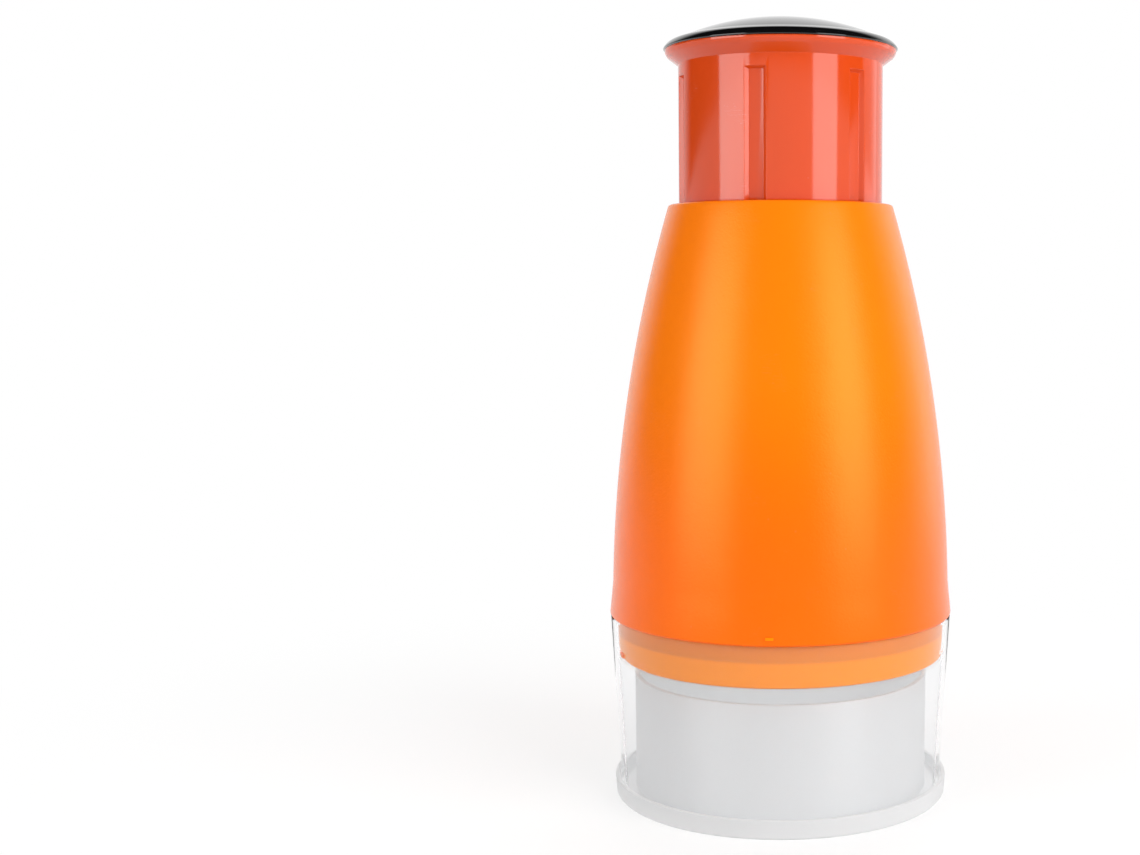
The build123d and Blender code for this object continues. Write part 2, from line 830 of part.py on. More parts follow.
def shaft_end():
    """The shaft's lower end, with two flats that key it to the carrier's hub."""
    end = disc(shaft_radius, shaft_bottom, hub_top)
    width = 2 * (shaft_radius - shaft_flat)
    height = hub_top - shaft_bottom
    return end & Pos(0, 0, shaft_bottom + height / 2) * Box(2 * shaft_radius, width, height)


def blade_clamp():
    """The lower plate that grips the strip against the carrier."""
    clamp = disc(carrier_radius, clamp_bottom, carrier_bottom)
    clamp -= blade_slot(grip_gap, clamp_bottom, carrier_bottom)
    clamp -= disc(screw_head_radius + bearing_gap, clamp_bottom, carrier_bottom)
    for place in clamp_screw_places():
        clamp -= place * clamp_screw_body()
    return clamp - index_notches(clamp_bottom, carrier_bottom)


def clamp_screw_body():
    """A countersunk screw through the clamp into the carrier."""
    tip = carrier_bottom + clamp_screw_depth
    return turned(
        (0, clamp_bottom),
        (clamp_screw_head, clamp_bottom),
        (clamp_screw_radius, clamp_bottom + clamp_screw_head - clamp_screw_radius),
        (clamp_screw_radius, tip),
        (0, tip),
    )


def clamp_screws():
    """The countersunk screws that draw the clamp to the carrier."""
    slot = Pos(0, 0, clamp_bottom) * Box(slot_width / 2, 2 * clamp_screw_head, slot_width)
    return Compound([place * (clamp_screw_body() - slot) for place in clamp_screw_places()])


def carrier_screw():
    """The screw from below that holds the carrier on the shaft's end."""
    head_bottom = clamp_bottom + grip_gap * 10
    screw = disc(screw_head_radius, head_bottom, carrier_bottom)
    screw += disc(screw_radius, carrier_bottom, shaft_bottom + screw_depth)
    return screw - Pos(0, 0, head_bottom) * Box(slot_width, 2 * screw_head_radius, clamp_thickness)


def blade_shaft():
    """The steel shaft from the carrier up through the cam sleeve to its journal in the plunger."""
    shaft = shaft_end() + disc(shaft_radius, hub_top, shaft_shoulder)
    shaft += disc(journal_radius, shaft_shoulder, journal_top)
    shaft -= disc(screw_radius, shaft_bottom, shaft_bottom + screw_depth)
    shaft -= disc(screw_radius, journal_top - screw_depth, journal_top)
    return shaft - cross_pin()


def cross_pin():
    """The pin through the shaft whose ends ride in the cam sleeve's slots."""
    length = 2 * (sleeve_radius - pin_end_gap)
    return Pos(0, 0, pin_height) * Rot(0, 90, 0) * Cylinder(pin_radius, length)


def thrust_washer():
    """The washer on the shaft's shoulder, under the bush."""
    top = shaft_shoulder + washer_thickness
    return ring(journal_radius, bush_radius - 2 * bearing_gap, shaft_shoulder, top)


def top_washer():
    """The washer over the plunger's bridge that the shaft hangs from."""
    return ring(screw_radius, bush_radius, journal_top, journal_top + top_washer_thickness)


def top_screw():
    """The screw in the shaft's upper end, hidden under the cap."""
    seat = journal_top + top_washer_thickness
    head_top = seat + screw_head_height
    screw = disc(screw_head_radius, seat, head_top)
    screw += disc(screw_radius, journal_top - screw_depth, seat)
    return screw - Pos(0, 0, head_top) * Box(slot_width, 2 * screw_head_radius, screw_head_height)


def wiper_disc():
    """The slotted disc that turns in the neck with the blade and wipes it clean as it rises."""
    wiper = disc(neck_bore - running_gap, wiper_bottom, wiper_top)
    return wiper - blade_slot(slot_gap, wiper_bottom, wiper_top)


def wiper_retainer():
    """The ring pressed into the neck over the wiper's edge."""
    return ring(neck_bore - retainer_width, neck_bore, retainer_bottom, retainer_top)


os.makedirs("parts", exist_ok=True)
for make in (
    tray_cup,
    clear_guard,
    body_shell,
    guide_collar,
    screw_posts,
    neck_ring,
    wiper_disc,
    wiper_retainer,
    bearing_plate,
    plate_screws,
    cam_sleeve,
    seat_washer,
    return_spring,
    plunger_tube,
    plunger_bridge,
    shaft_bush,
    cap_dome,
    blade_shaft,
    cross_pin,
    thrust_washer,
    top_washer,
    top_screw,
    blade_carrier,
    blade_clamp,
    clamp_screws,
    carrier_screw,
    zigzag_blade,
):
    save(make(), make.__name__)
print(f"least gap between the spring's turns: {spring_gap():.2f} mm")
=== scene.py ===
import math

import bpy
from bpy.props import FloatProperty, FloatVectorProperty, IntProperty, PointerProperty
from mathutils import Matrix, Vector


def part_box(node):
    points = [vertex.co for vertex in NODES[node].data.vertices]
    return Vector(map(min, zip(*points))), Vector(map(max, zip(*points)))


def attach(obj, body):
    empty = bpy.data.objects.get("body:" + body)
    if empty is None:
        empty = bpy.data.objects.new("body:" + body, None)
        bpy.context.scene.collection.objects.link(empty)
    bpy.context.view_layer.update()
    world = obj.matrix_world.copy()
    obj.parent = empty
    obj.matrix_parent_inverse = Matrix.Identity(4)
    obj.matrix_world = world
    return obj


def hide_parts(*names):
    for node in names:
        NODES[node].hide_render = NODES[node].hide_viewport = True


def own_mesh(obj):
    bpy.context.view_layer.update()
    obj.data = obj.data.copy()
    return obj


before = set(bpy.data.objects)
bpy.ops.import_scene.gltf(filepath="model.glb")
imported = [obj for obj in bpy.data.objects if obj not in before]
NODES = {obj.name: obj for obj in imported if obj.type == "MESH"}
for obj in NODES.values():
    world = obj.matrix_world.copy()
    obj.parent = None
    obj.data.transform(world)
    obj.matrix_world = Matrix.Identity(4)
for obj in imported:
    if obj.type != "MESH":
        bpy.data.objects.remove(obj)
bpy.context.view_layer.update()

bl_info = {
    "name": "Garlic Chopper",
    "version": (1, 0, 0),
    "blender": (4, 5, 0),
    "location": "View3D > Sidebar > Chopper",
    "description": "Shells, guard, cup, spring and finishes of a hand-pressed chopper in a plain studio",
    "category": "Object",
}

MM = 0.001
AXIS_RADIUS = 0.01 * MM
SEAM = 0.025 * MM
EVEN = (1, 1, 1)
WHITE = (1, 1, 1, 1)


def low(node):
    """The lowest corner of a CAD node."""
    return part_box(node)[0]


def high(node):
    """The highest corner of a CAD node."""
    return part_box(node)[1]


TABLE_TO_CAP = high("cap_dome").z
CAP_SEAM = high("plunger_tube").z
CAP_RADIUS = high("cap_dome").x
PLUNGER_FOOT = low("plunger_tube").z
FLARE_RADIUS = high("plunger_tube").x
BODY_FOOT = low("body_shell").z
BODY_RIM = high("body_shell").z
FOOT_RADIUS = high("body_shell").x
GUARD_FOOT = low("clear_guard").z
GUARD_RIM = high("clear_guard").z
GUARD_RADIUS = high("clear_guard").x
CUP_RIM = high("tray_cup").z
LIP_RADIUS = high("tray_cup").x
NECK_FOOT = low("neck_ring").z
NECK_TOP = high("neck_ring").z
SPRING_FOOT = low("return_spring").z
SPRING_TOP = high("return_spring").z


def metres(name, description, default):
    """A length that shows in the sidebar."""
    return FloatProperty(
        name=name, description=description, default=default, min=0, unit="LENGTH", subtype="DISTANCE"
    )


def colour(name, description, default):
    """A colour that shows in the sidebar."""
    return FloatVectorProperty(
        name=name, description=description, default=default, size=3, min=0, max=1, subtype="COLOR"
    )


def watts(name, default):
    """A lamp's power that shows in the sidebar."""
    return FloatProperty(name=name, description="Watts", default=default, min=0, subtype="POWER")


class ChopperSizes(bpy.types.PropertyGroup):
    """Sizes of the pieces that are modelled here."""

    steps: IntProperty(
        name="Facets round", description="Facets round each turned piece", default=180, min=24, max=360
    )
    edge: metres("Edge rounding", "Rounding of the moulded edges", 0.3 * MM)
    plunger_radius: metres("Plunger radius", "Outer radius of the plunger's tube", 28.55 * MM)
    plunger_wall: metres("Plunger wall", "Wall of the plunger's tube", 2.2 * MM)
    groove_mouth: metres("Groove mouth", "Width of a groove at the tube's surface", 6.2 * MM)
    groove_floor: metres("Groove floor", "Width of a groove at its floor", 4.0 * MM)
    groove_depth: metres("Groove depth", "Depth of a groove", 1.3 * MM)
    groove_count: IntProperty(name="Grooves", description="Grooves round the plunger", default=6, min=1)
    body_arc: metres("Body arc", "Radius of the long arc of the body's side", 405 * MM)
    body_wall: metres("Body wall", "Wall of the bell-shaped body", 2.4 * MM)
    guard_wall: metres("Guard wall", "Wall of the clear guard", 1.6 * MM)
    cup_radius: metres("Cup radius", "Outer radius of the cup's rim", 41.7 * MM)
    cup_wall: metres("Cup wall", "Wall of the cup", 1.5 * MM)
    wire_radius: metres("Wire radius", "Radius of the spring's wire", 0.6 * MM)
    spring_turns: IntProperty(name="Spring turns", description="Turns of the return spring", default=9, min=3)


class ChopperFinish(bpy.types.PropertyGroup):
    """Colours and textures of the finishes."""

    body_colour: colour("Body", "Satin orange of the body's lower half", (1.0, 0.14, 0.001))
    # Painted light: the upper half is coloured lighter than the lower half to stand in for the brighter light
    # that falls on it.
    body_painted_light: colour("Body, upper half", "Lighter orange of the body's upper half", (1.0, 0.205, 0.002))
    neck_colour: colour("Neck", "Lighter orange of the neck", (1.0, 0.28, 0.005))
    # Painted shadow: the deeper orange band stands in for the shadow of the body's foot on the neck.
    neck_painted_shadow: colour("Neck, upper band", "Deeper orange under the body's foot", (0.8, 0.22, 0.02))
    plunger_colour: colour("Plunger", "Red-orange of the plunger", (0.66, 0.064, 0.008))
    cap_colour: colour("Cap", "Black of the cap", (0.004, 0.004, 0.0045))
    guard_colour: colour("Guard", "Tint of the clear guard", (0.975, 0.98, 0.985))
    cup_colour: colour("Cup", "Milky white of the cup and tray", (0.86, 0.862, 0.865))
    inner_colour: colour("Inner parts", "White of the inner mouldings", (0.74, 0.74, 0.71))
    steel_colour: colour("Steel", "Stainless steel", (0.6, 0.61, 0.63))
    grain: FloatProperty(
        name="Grain scale", description="Grains per metre of the moulded surfaces", default=1700, min=1
    )


class ChopperStage(bpy.types.PropertyGroup):
    """The camera, the lamps and the room."""

    distance: metres("Camera distance", "From the chopper's axis to the camera", 455 * MM)
    height: metres("Camera height", "Above the floor", 145.2 * MM)
    pitch: FloatProperty(
        name="Camera pitch", description="How far the camera looks down", default=math.radians(5.13),
        subtype="ANGLE",
    )
    lens: FloatProperty(name="Lens", description="Focal length in millimetres", default=50.62, min=1)
    shift: FloatProperty(name="Shift", description="Sideways shift of the lens", default=-0.1846)
    key_power: watts("Key lamp", 7.4)
    fill_power: watts("Fill lamp", 3.0)
    back_power: watts("Back lamp", 3.5)
    sheen_power: watts("Sheen lamps", 7.0)
    ambient: FloatProperty(name="Room light", description="Strength of the even light", default=0.5, min=0)


# Modelling


def clear_selection():
    """Leaves edit mode and deselects everything."""
    if bpy.context.object and bpy.context.object.mode != "OBJECT":
        bpy.ops.object.mode_set(mode="OBJECT")
    bpy.ops.object.select_all(action="DESELECT")


def pick(piece):
    """Makes one piece the only selected and active object."""
    clear_selection()
    piece.select_set(True)
    bpy.context.view_layer.objects.active = piece


def arc(start, end, radius, count):
    """Points after start and up to end on an arc of (radius, height) points that bulges to the right."""
    half = math.dist(start, end) / 2
    middle = ((start[0] + end[0]) / 2, (start[1] + end[1]) / 2)
    along = ((end[0] - start[0]) / (2 * half), (end[1] - start[1]) / (2 * half))
    back = math.sqrt(radius**2 - half**2)
    centre = (middle[0] - back * along[1], middle[1] + back * along[0])
    first = math.atan2(start[1] - centre[1], start[0] - centre[0])
    sweep = 2 * math.asin(half / radius)
    angles = [first + sweep * i / count for i in range(1, count + 1)]
    return [(centre[0] + radius * math.cos(a), centre[1] + radius * math.sin(a)) for a in angles]


def turned(name, profile, steps, edge=0.0, sharp=30.0):
    """Extrudes a circle along a closed profile of (radius, height) points, then rounds its sharp edges."""
    clear_selection()
    profile = [(max(r, AXIS_RADIUS), z) for r, z in profile]
    closed = profile[0][0] > AXIS_RADIUS
    bpy.ops.mesh.primitive_circle_add(vertices=steps, radius=profile[0][0], location=(0, 0, profile[0][1]))
    piece = bpy.context.object
    piece.name = name
    piece.data.name = name
    bpy.ops.object.transform_apply(location=True, rotation=True, scale=True)
    bpy.ops.object.mode_set(mode="EDIT")
    bpy.ops.mesh.select_mode(type="VERT")
    bpy.ops.mesh.select_all(action="SELECT")
    path = profile + profile[:1] if closed else profile
    for (r0, z0), (r1, z1) in zip(path, path[1:]):
        bpy.ops.mesh.extrude_region_move(TRANSFORM_OT_translate={"value": (0, 0, z1 - z0)})
        bpy.ops.transform.resize(value=(r1 / r0, r1 / r0, 1), center_override=(0, 0, z1))
    # The last ring lies on the first, or on a pole, so the doubles are merged.
    bpy.ops.mesh.select_all(action="SELECT")
    bpy.ops.mesh.remove_doubles(threshold=SEAM)
    bpy.ops.mesh.normals_make_consistent(inside=False)
    bpy.ops.object.mode_set(mode="OBJECT")
    if edge:
        round_edges(piece, edge, sharp)
    return piece


def round_edges(piece, width, sharp=30.0):
    """Rounds the edges of a piece that are sharper than an angle."""
    pick(piece)
    bpy.ops.object.modifier_add(type="BEVEL")
    bevel = piece.modifiers[-1]
    bevel.width = width
    bevel.segments = 3
    bevel.limit_method = "ANGLE"
    bevel.angle_limit = math.radians(sharp)
    bevel.use_clamp_overlap = True
    bpy.ops.object.modifier_apply(modifier=bevel.name)


def smooth(piece, angle=32.0):
    """Shades a piece smoothly, apart from its sharp edges."""
    pick(piece)
    bpy.ops.object.shade_smooth_by_angle(angle=math.radians(angle))


def combine(piece, other, operation):
    """Joins another piece to a piece, or cuts it out, and removes the other one."""
    pick(piece)
    bpy.ops.object.modifier_add(type="BOOLEAN")
    boolean = piece.modifiers[-1]
    boolean.operation = operation
    boolean.solver = "EXACT"
    boolean.object = other
    bpy.ops.object.modifier_apply(modifier=boolean.name)
    pick(other)
    bpy.ops.object.delete()


def block(name, size, place):
    """A cube primitive of a size, centred on a place, with that place in its mesh."""
    clear_selection()
    bpy.ops.mesh.primitive_cube_add(size=1, location=place, scale=size)
    piece = bpy.context.object
    piece.name = name
    bpy.ops.object.transform_apply(location=True, rotation=True, scale=True)
    return piece


def turn(piece, degrees):
    """Turns a piece about the upright axis, to the right as seen from the front."""
    pick(piece)
    piece.rotation_euler.z = math.radians(degrees)
    bpy.ops.object.transform_apply(location=False, rotation=True, scale=False)


def copies_round(piece, angles):
    """Turns copies of a piece, each with its own mesh, to some angles, and joins them into one."""
    made = []
    for angle in angles:
        pick(piece)
        bpy.ops.object.duplicate(linked=False)
        copy = bpy.context.object
        turn(copy, angle)
        made.append(copy)
    pick(piece)
    bpy.ops.object.delete()
    clear_selection()
    for copy in made:
        copy.select_set(True)
    bpy.context.view_layer.objects.active = made[0]
    bpy.ops.object.join()
    return bpy.context.object


def select_faces(piece, wanted):
    """Selects, in edit mode, the faces whose centre and normal pass a test."""
    pick(piece)
    bpy.ops.object.mode_set(mode="EDIT")
    bpy.ops.mesh.select_mode(type="FACE")
    bpy.ops.mesh.select_all(action="DESELECT")
    bpy.ops.object.mode_set(mode="OBJECT")
    for polygon in piece.data.polygons:
        polygon.select = wanted(polygon.center, polygon.normal)
    bpy.ops.object.mode_set(mode="EDIT")


def bearing_of(point):
    """The angle of a point round the axis from the front, in degrees, that grows to the right."""
    return math.degrees(math.atan2(point.x, -point.y))


def apart(angle, other):
    """How far two angles lie apart, in degrees."""
    return abs((angle - other + 180) % 360 - 180)


def finish_piece(piece, body, slot, material, *nodes):
    """Gives a piece its material and body, and lets it stand for its CAD nodes; the slot is not used."""
    piece.data.materials.clear()
    piece.data.materials.append(material)
    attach(piece, body)
    if nodes:
        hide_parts(*nodes)


def dress(material, *nodes):
    """Gives CAD nodes that stay as they are a material."""
    for node in nodes:
        NODES[node].data.materials.clear()
        NODES[node].data.materials.append(material)


# Shader nodes


def feed(tree, value, socket):
    """Links an output to a socket, or sets the socket to a number."""
    if isinstance(value, bpy.types.NodeSocket):
        tree.links.new(value, socket)
    else:
        socket.default_value = value


def maths(tree, operation, *values):
    """A math node fed by outputs or numbers, and its output."""
    node = tree.nodes.new("ShaderNodeMath")
    node.operation = operation
    for value, socket in zip(values, node.inputs):
        feed(tree, value, socket)
    return node.outputs[0]


def ramp(tree, value, start, end):
    """A smooth step from nought to one as a value goes from start to end."""
    node = tree.nodes.new("ShaderNodeMapRange")
    node.interpolation_type = "SMOOTHSTEP"
    node.inputs["From Min"].default_value = start
    node.inputs["From Max"].default_value = end
    tree.links.new(value, node.inputs["Value"])
    return node.outputs["Result"]


def noise(tree, vector, scale, detail=2.0, roughness=0.5):
    """A noise texture on a vector, and its value."""
    node = tree.nodes.new("ShaderNodeTexNoise")
    tree.links.new(vector, node.inputs["Vector"])
    feed(tree, scale, node.inputs["Scale"])
    node.inputs["Detail"].default_value = detail
    node.inputs["Roughness"].default_value = roughness
    return node.outputs["Fac"]


def stretched(tree, factors):
    """Object coordinates stretched by three factors."""
    coordinates = tree.nodes.new("ShaderNodeTexCoord")
    mapping = tree.nodes.new("ShaderNodeMapping")
    mapping.inputs["Scale"].default_value = factors
    tree.links.new(coordinates.outputs["Object"], mapping.inputs["Vector"])
    return mapping.outputs["Vector"]


def height_in(tree):
    """The height of a point in Object coordinates."""
    parts = tree.nodes.new("ShaderNodeSeparateXYZ")
    tree.links.new(stretched(tree, EVEN), parts.inputs[0])
    return parts.outputs["Z"]


def tinted(tree, base, tone):
    """A colour made lighter or darker by a tone."""
    scale = tree.nodes.new("ShaderNodeVectorMath")
    scale.operation = "SCALE"
    scale.inputs[0].default_value = tuple(base)[:3]
    tree.links.new(tone, scale.inputs["Scale"])
    return scale.outputs[0]


def mixed(tree, factor, *colours):
    """A colour mixed from two colours or outputs by a factor."""
    mix = tree.nodes.new("ShaderNodeMix")
    mix.data_type = "RGBA"
    tree.links.new(factor, mix.inputs["Factor"])
    for value, socket in zip(colours, (mix.inputs[6], mix.inputs[7])):
        is_output = isinstance(value, bpy.types.NodeSocket)
        feed(tree, value if is_output else (*tuple(value)[:3], 1), socket)
    return mix.outputs[2]


def plain_shader(tree, kind, **values):
    """A shader node with its own values, and its output."""
    node = tree.nodes.new(kind)
    for label, value in values.items():
        node.inputs[label].default_value = value
    return node.outputs[0]


def blended(tree, factor, first, second):
    """A shader that goes from one to another by a factor."""
    mix = tree.nodes.new("ShaderNodeMixShader")
    feed(tree, factor, mix.inputs["Fac"])
    tree.links.new(first, mix.inputs[1])
    tree.links.new(second, mix.inputs[2])
    return mix.outputs["Shader"]


def rays(tree, *kinds):
    """One where a ray is of any of these kinds, and nought elsewhere."""
    path = tree.nodes.new("ShaderNodeLightPath")
    found = path.outputs[f"Is {kinds[0]} Ray"]
    for kind in kinds[1:]:
        found = maths(tree, "MAXIMUM", found, path.outputs[f"Is {kind} Ray"])
    return found


def add_bump(tree, shader, height, distance, strength=1.0):
    """Feeds a height to a shader's normal."""
    bump = tree.nodes.new("ShaderNodeBump")
    bump.inputs["Distance"].default_value = distance
    bump.inputs["Strength"].default_value = strength
    tree.links.new(height, bump.inputs["Height"])
    tree.links.new(bump.outputs["Normal"], shader.inputs["Normal"])


# Finishes


def new_group(name, inputs, outputs):
    """An empty node group with named float sockets, and its input and output nodes."""
    group = bpy.data.node_groups.new(name, "ShaderNodeTree")
    for label, value in inputs:
        socket = group.interface.new_socket(name=label, in_out="INPUT", socket_type="NodeSocketFloat")
        socket.default_value = value
    for label in outputs:
        group.interface.new_socket(name=label, in_out="OUTPUT", socket_type="NodeSocketFloat")
    return group, group.nodes.new("NodeGroupInput"), group.nodes.new("NodeGroupOutput")


def place_group(tree, group, **values):
    """Places a node group in a material with its own values."""
    node = tree.nodes.new("ShaderNodeGroup")
    node.node_tree = group
    for label, value in values.items():
        node.inputs[label.replace("_", " ")].default_value = value
    return node


def moulded_grain():
    """Fine grain of a moulded surface, with a slow change of tone over it."""
    name = "Moulded grain"
    if name in bpy.data.node_groups:
        return bpy.data.node_groups[name]
    inputs = (
        ("Grains per metre", 2600.0), ("Tone change", 0.06), ("Roughness", 0.4), ("Roughness change", 0.06)
    )
    slow_scale = 28.0
    group, given, result = new_group(name, inputs, ("Height", "Tone", "Roughness"))
    place = stretched(group, EVEN)
    grain = noise(group, place, given.outputs["Grains per metre"], detail=3.0, roughness=0.6)
    slow = maths(group, "SUBTRACT", noise(group, place, slow_scale), 0.5)
    spread = maths(group, "SUBTRACT", grain, 0.5)
    tone = maths(group, "MULTIPLY_ADD", slow, given.outputs["Tone change"], 1.0)
    change = given.outputs["Roughness change"]
    rough = maths(group, "MULTIPLY_ADD", spread, change, given.outputs["Roughness"])
    for value, label in ((grain, "Height"), (tone, "Tone"), (rough, "Roughness")):
        group.links.new(value, result.inputs[label])
    return group


def handling_marks():
    """Sparse hairline scratches and specks, as a mask."""
    name = "Handling marks"
    if name in bpy.data.node_groups:
        return bpy.data.node_groups[name]
    hairs, patches = (260, 260, 2400), (90, 90, 70)
    hair_width, patch_level = 0.006, 0.66
    speck_scale, speck_radius = 130.0, 0.035
    group, given, result = new_group(name, (("Scratches", 0.5), ("Specks", 0.5)), ("Marks",))
    across = noise(group, stretched(group, hairs), scale=1.0, detail=1.0)
    along = noise(group, stretched(group, patches), scale=1.0)
    hairline = maths(group, "COMPARE", across, 0.5, hair_width)
    where = maths(group, "GREATER_THAN", along, patch_level)
    scratch = maths(group, "MULTIPLY", maths(group, "MULTIPLY", hairline, where), given.outputs["Scratches"])
    cells = group.nodes.new("ShaderNodeTexVoronoi")
    cells.inputs["Scale"].default_value = speck_scale
    group.links.new(stretched(group, EVEN), cells.inputs["Vector"])
    dot = maths(group, "LESS_THAN", cells.outputs["Distance"], speck_radius)
    speck = maths(group, "MULTIPLY", dot, given.outputs["Specks"])
    group.links.new(maths(group, "MAXIMUM", scratch, speck), result.inputs["Marks"])
    return group


def start_material(name):
    """A new material, its node tree and its surface shader."""
    material = bpy.data.materials.new(name)
    material.use_nodes = True
    tree = material.node_tree
    return material, tree, tree.nodes["Principled BSDF"]


def set_surface(tree, shader):
    """Ends a material's tree in a shader."""
    tree.links.new(shader, tree.nodes["Material Output"].inputs["Surface"])


def moulded_plastic(
    name, base, roughness, grain, depth, tone=0.06, scratches=0.3, specks=0.2, coat=0.0, sheen=EVEN,
    upper=None, change=(0.0, 1.0),
):
    """An opaque moulded plastic with grain, a slow change of tone, a few marks and a colour high up that
    paints light or shade there: painted light on the body, a painted shadow on the neck.
    """
    rough_change, duller = 0.35, 0.25
    wear, pale = 0.35, 0.6
    material, tree, shader = start_material(name)
    surface = place_group(
        tree, moulded_grain(), Grains_per_metre=grain, Tone_change=tone, Roughness=roughness,
        Roughness_change=roughness * rough_change,
    )
    marks = place_group(tree, handling_marks(), Scratches=scratches, Specks=specks).outputs["Marks"]
    shade = tinted(tree, base, surface.outputs["Tone"])
    # Painted shading: the colour high up, blended in over the given heights, paints light on the body and a
    # shadow on the neck.
    if upper:
        light = tinted(tree, upper, surface.outputs["Tone"])
        shade = mixed(tree, ramp(tree, height_in(tree), *change), shade, light)
    worn = [channel + wear * (pale - channel) for channel in tuple(base)[:3]]
    tree.links.new(mixed(tree, marks, shade, worn), shader.inputs["Base Color"])
    rough = maths(tree, "MULTIPLY_ADD", marks, duller, surface.outputs["Roughness"])
    tree.links.new(rough, shader.inputs["Roughness"])
    shader.inputs["Specular Tint"].default_value = (*sheen, 1)
    shader.inputs["Coat Weight"].default_value = coat
    add_bump(tree, shader, surface.outputs["Height"], depth)
    return material


def let_light_in(tree, surface, share, tint):
    """Lets a share of the light that falls on a surface pass to what is behind it."""
    passing = maths(tree, "MULTIPLY", rays(tree, "Shadow", "Diffuse"), share)
    through = plain_shader(tree, "ShaderNodeBsdfTransparent", Color=(*tint, 1))
    set_surface(tree, blended(tree, passing, surface, through))


def clear_plastic(name, tint):
    """A clear moulding that lets light through to what is inside it."""
    limb_tint, duller = 0.98, 0.2
    light_tint = (0.94, 0.945, 0.95)
    material, tree, shader = start_material(name)
    surface = place_group(
        tree, moulded_grain(), Grains_per_metre=140.0, Roughness=0.02, Roughness_change=0.02
    )
    marks = place_group(tree, handling_marks(), Scratches=0.25, Specks=0.0)
    limb = tree.nodes.new("ShaderNodeLayerWeight")
    limb.inputs["Blend"].default_value = 0.3
    thick = [channel * limb_tint for channel in tuple(tint)[:3]]
    tree.links.new(mixed(tree, limb.outputs["Facing"], tint, thick), shader.inputs["Base Color"])
    # The index is close to one, because a thin wall hardly bends what is behind it.
    shader.inputs["IOR"].default_value = 1.01
    shader.inputs["Transmission Weight"].default_value = 0.987
    shader.inputs["Coat Weight"].default_value = 0.2
    shader.inputs["Coat Roughness"].default_value = 0.03
    shader.inputs["Coat IOR"].default_value = 1.45
    rough = maths(tree, "MULTIPLY_ADD", marks.outputs["Marks"], duller, surface.outputs["Roughness"])
    tree.links.new(rough, shader.inputs["Roughness"])
    add_bump(tree, shader, surface.outputs["Height"], distance=0.02 * MM, strength=0.08)
    let_light_in(tree, shader.outputs["BSDF"], share=1.0, tint=light_tint)
    return material


def milky_plastic(name, base):
    """A thin milky moulding that light shines through, softly, from behind and into what it holds."""
    milk, share = 0.5, 0.6
    material, tree, shader = start_material(name)
    surface = place_group(
        tree, moulded_grain(), Grains_per_metre=900.0, Tone_change=0.05, Roughness=0.34, Roughness_change=0.1
    )
    tree.links.new(tinted(tree, base, surface.outputs["Tone"]), shader.inputs["Base Color"])
    tree.links.new(surface.outputs["Roughness"], shader.inputs["Roughness"])
    add_bump(tree, shader, surface.outputs["Height"], distance=0.02 * MM, strength=0.3)
    glow = plain_shader(tree, "ShaderNodeBsdfTranslucent", Color=(*tuple(base)[:3], 1))
    let_light_in(tree, blended(tree, milk, shader.outputs["BSDF"], glow), share, tint=EVEN)
    return material


def steel(name, base, roughness, stretch, ground_height=None):
    """Stainless steel with drawing lines, and a brighter ground edge up to a height."""
    tone_change, rough_change = 0.16, 0.2
    ground_colour, ground_polish = (0.82, 0.83, 0.85), -0.1
    material, tree, shader = start_material(name)
    lines = noise(tree, stretched(tree, stretch), scale=1.0, detail=3.0, roughness=0.65)
    tone = maths(tree, "MULTIPLY_ADD", maths(tree, "SUBTRACT", lines, 0.5), tone_change, 1.0)
    shade = tinted(tree, base, tone)
    rough = maths(tree, "MULTIPLY_ADD", lines, rough_change, roughness)
    if ground_height:
        ground = maths(tree, "LESS_THAN", height_in(tree), ground_height)
        shade = mixed(tree, ground, shade, ground_colour)
        rough = maths(tree, "MULTIPLY_ADD", ground, ground_polish, rough)
    tree.links.new(shade, shader.inputs["Base Color"])
    tree.links.new(rough, shader.inputs["Roughness"])
    shader.inputs["Metallic"].default_value = 1.0
    add_bump(tree, shader, lines, distance=0.01 * MM, strength=0.3)
    return material


# Pieces


def cap_profile():
    """The dome, its shoulder and rim, and the skirt that plugs into the plunger."""
    wall, chamfer = 1.3 * MM, 0.3 * MM
    skirt, skirt_wall, skirt_length = 26.3 * MM, 1.8 * MM, 3.4 * MM
    seat = CAP_RADIUS - 3.5 * MM
    shoulder = (CAP_RADIUS - 3.35 * MM, TABLE_TO_CAP - 6.3 * MM)
    shoulder_arc = 3.9 * MM
    rim = (CAP_RADIUS, CAP_SEAM + chamfer)
    top = (0.0, TABLE_TO_CAP)
    drop = TABLE_TO_CAP - shoulder[1]
    dome = (shoulder[0] ** 2 + drop**2) / (2 * drop)
    inner = dome - wall
    skirt_foot = CAP_SEAM - skirt_length

    def under_dome(radius):
        return radius, TABLE_TO_CAP - wall - inner + math.sqrt(inner**2 - radius**2)

    outline = [rim] + arc(rim, shoulder, shoulder_arc, count=10) + arc(shoulder, top, dome, count=16)
    outline.reverse()
    outline += [(CAP_RADIUS - chamfer, CAP_SEAM), (seat, CAP_SEAM), under_dome(seat), under_dome(skirt)]
    outline += [(skirt, skirt_foot), (skirt - skirt_wall, skirt_foot), under_dome(skirt - skirt_wall)]
    outline += [under_dome(skirt * share) for share in (0.75, 0.5, 0.25, 0.0)]
    return outline


class CHOPPER_OT_cap(bpy.types.Operator):
    """Model the glossy black cap."""

    bl_idname = "chopper.cap"
    bl_label = "Cap"

    def execute(self, context):
        sizes, finish = context.scene.chopper_sizes, context.scene.chopper_finish
        cap = turned("domed_cap", cap_profile(), sizes.steps, edge=0.2 * MM)
        smooth(cap, angle=40)
        black = moulded_plastic(
            "Polished black plastic", finish.cap_colour, roughness=0.06, grain=60.0, depth=0.004 * MM,
            tone=0.2, scratches=0.35, specks=0.0, coat=0.4,
        )
        finish_piece(cap, "plunger", "black_cap", black, "cap_dome")
        return {"FINISHED"}


